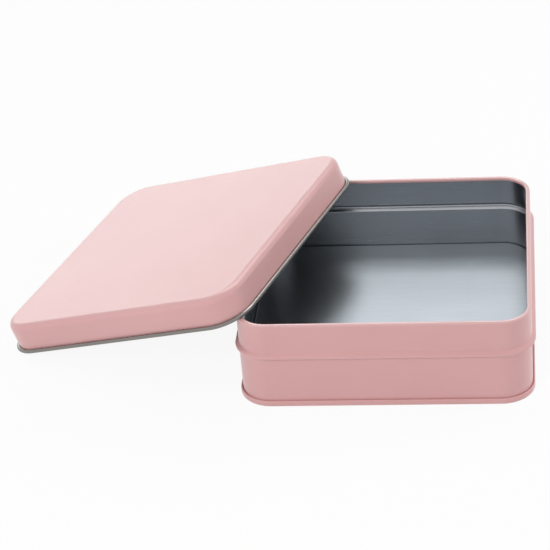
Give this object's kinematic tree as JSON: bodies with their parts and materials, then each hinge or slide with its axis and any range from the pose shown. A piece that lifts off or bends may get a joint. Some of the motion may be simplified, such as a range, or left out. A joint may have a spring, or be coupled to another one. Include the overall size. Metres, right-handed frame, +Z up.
{
  "type": "square slip-lid tin",
  "caption": "Shallow square tinplate tin with rounded corners, rolled rim and lid-stop bead, standing open and empty with its loose lid leaning on the rim.",
  "frame": {"origin": "middle of the footprint of tin and lid together, on the surface they stand on", "axes": "+Z up, the tin's side walls along X and Y, the tin towards +X and the leaning lid towards -X, the side with the lid's low corner towards -Y"},
  "size_m": [0.2832, 0.1926, 0.0694],
  "materials": {
    "enamel": "satin dusty pink enamel outside, bare tinplate inside",
    "tinplate": "bright bare tinplate inside, pink enamel on the outer seam"
  },
  "bodies": {
    "root": {"tin_wall": "enamel", "tin_bottom": "tinplate", "lid": "enamel"}
  },
  "joints": []
}
